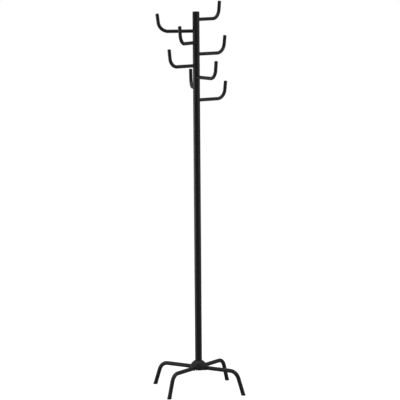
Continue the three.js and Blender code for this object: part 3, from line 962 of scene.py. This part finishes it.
for number in range(1, 5):
    screw = round_piece("screw", upright, [(head_low, 0, 0)] + crown + [
        (head_low + SCREW_HEAD, head_radius, 0.15 * MM),
        (head_low + SCREW_HEAD, SCREW_RADIUS, 0),
        (screw_top, SCREW_RADIUS, 0.5 * MM), (screw_top, 0, 0)], 40)
    key = drill(KEY_RADIUS, head_low - SCREW_HEAD, head_low + SCREW_HEAD / 2, sides=6)
    settle(carve(screw, [key]), f"leg_screw_{number}",
           quarter_turn(number - 1) @ Matrix.Translation((SCREW_PLACE, 0, 0)))

# %% [markdown]
# ## Finish what nobody sees
# The studs, the hooks' nuts and the plug in the pole's foot are shut inside the tubes. Their CAD
# meshes are good enough, so they stay, and only take the finish of their material slot.

# %% Finish the CAD nodes that stay
kept = [name for name, node in frame["nodes"].items() if not node.hide_render]
for name in kept:
    frame["nodes"][name].data.materials.clear()
    frame["nodes"][name].data.materials.append(finishes[slot_of[name]])
print(len(kept), "CAD nodes stay:", ", ".join(sorted(kept)))
print(f"largest difference from the CAD's boxes: {max(mismatch.values()) / MM:.2f} mm")

# %% [markdown]
# ## The studio
# The rack stands on a plain pale floor. A wide, soft overhead light and a dim sky reach it from
# everywhere. A tall softbox on the right and a small square one low on the left draw the long
# highlights that tell the eye the tubes are round. A thin black object under an all-white sky would
# look grey at its edges, so the sky that lights it is dimmer than the white that shows behind it. The
# floor plays the same trick: it is grey to the rack, and a glow that only the camera sees lifts it to
# the white behind, so no horizon shows.

# %% Floor
FLOOR_RADIUS = 3.0
FLOOR_GREY = 0.34
FLOOR_GLOW = 0.76  # light that only the camera sees
floor = round_piece("floor", upright, [(0, FLOOR_RADIUS, 0), (0, 0, 0)], 96)
floor_paint = bpy.data.materials.new("studio_floor")
floor_paint.use_nodes = True
table = floor_paint.node_tree
shader = table.nodes["Principled BSDF"]
shader.inputs["Base Color"].default_value = (FLOOR_GREY, FLOOR_GREY, FLOOR_GREY, 1)
shader.inputs["Roughness"].default_value = 0.9
shader.inputs["Specular IOR Level"].default_value = 0.1
shader.inputs["Emission Color"].default_value = (1, 1, 1, 1)
glow = add_math(table, "MULTIPLY", add_node(
    table, "ShaderNodeLightPath").outputs["Is Camera Ray"], FLOOR_GLOW)
table.links.new(glow, shader.inputs["Emission Strength"])
floor.data.materials.append(floor_paint)
print(f"floor {2 * FLOOR_RADIUS:.0f} m across")

# %% World
SKY_LIGHT = 0.32
WHITE = (1, 1, 1, 1)
world = bpy.data.worlds.new("studio")
bpy.context.scene.world = world
world.use_nodes = True
sky = world.node_tree
sky.nodes.clear()
seen = add_node(sky, "ShaderNodeLightPath").outputs["Is Camera Ray"]
lit = add_node(sky, "ShaderNodeBackground", {"Color": WHITE, "Strength": SKY_LIGHT})
white = add_node(sky, "ShaderNodeBackground", {"Color": WHITE, "Strength": 1.0})
either = add_node(sky, "ShaderNodeMixShader", {
    0: seen, 1: lit.outputs[0], 2: white.outputs[0]})
add_node(sky, "ShaderNodeOutputWorld", {"Surface": either.outputs[0]})
print("the sky lights the rack at", SKY_LIGHT, "of the white that shows")

# %% Lights
def softbox(name, place, aim, size, watts):
    """A rectangular area light that faces a point."""
    light = bpy.data.lights.new(name, "AREA")
    light.shape = "RECTANGLE"
    light.size, light.size_y = size
    light.energy = watts
    lamp = bpy.data.objects.new(name, light)
    lamp.location = place
    lamp.rotation_euler = (Vector(aim) - Vector(place)).to_track_quat("-Z", "Y").to_euler()
    lamp.visible_camera = False
    bpy.context.scene.collection.objects.link(lamp)
    print(f"{name}: {watts} watts")


softbox("right_softbox", place=(3.8, 1.3, 1.3), aim=(0, 0, 1.1), size=(1.4, 2.4), watts=40)
softbox("left_strip", place=(-3.3, -1.9, 0.62), aim=(0, 0, 1.0), size=(0.7, 0.7), watts=75)

OVERHEAD_STRENGTH = 1.9
OVERHEAD_SPREAD = math.radians(70)  # a wide sun casts a soft shadow
overhead = bpy.data.lights.new("overhead", "SUN")
overhead.energy = OVERHEAD_STRENGTH
overhead.angle = OVERHEAD_SPREAD
bpy.context.scene.collection.objects.link(bpy.data.objects.new("overhead", overhead))

# %% [markdown]
# ## The camera
# The rack is seen from far away through a long lens, a little above its top and looking slightly
# down, so its verticals stay nearly parallel. The numbers below are the angles, the distance from
# the pole's axis, the height, and a small step to one side. The camera also rolls by less than half
# a degree.

# %% Camera
AZIMUTH = math.radians(33.3)
DISTANCE = 9.402
EYE_HEIGHT = 2.028
PITCH = math.radians(6.9075)
ROLL = math.radians(0.43)
SIDESTEP = 12.2 * MM
FOCAL_LENGTH = 185  # in millimetres, as is the sensor's width
SENSOR_WIDTH = 36
FARTHEST = 200
lens = bpy.data.cameras.new("camera")
lens.lens = FOCAL_LENGTH
lens.sensor_width = SENSOR_WIDTH
lens.clip_end = FARTHEST
camera = bpy.data.objects.new("camera", lens)
camera.matrix_world = (
    Matrix.Rotation(AZIMUTH, 4, "Z")
    @ Matrix.Translation((SIDESTEP, -DISTANCE, EYE_HEIGHT))
    @ Matrix.Rotation(math.pi / 2 - PITCH, 4, "X")
    @ Matrix.Rotation(-ROLL, 4, "Z"))
bpy.context.scene.collection.objects.link(camera)
bpy.context.scene.camera = camera
bpy.context.scene.view_settings.view_transform = "Standard"
print(f"camera {DISTANCE:.1f} m away, {EYE_HEIGHT:.2f} m up")
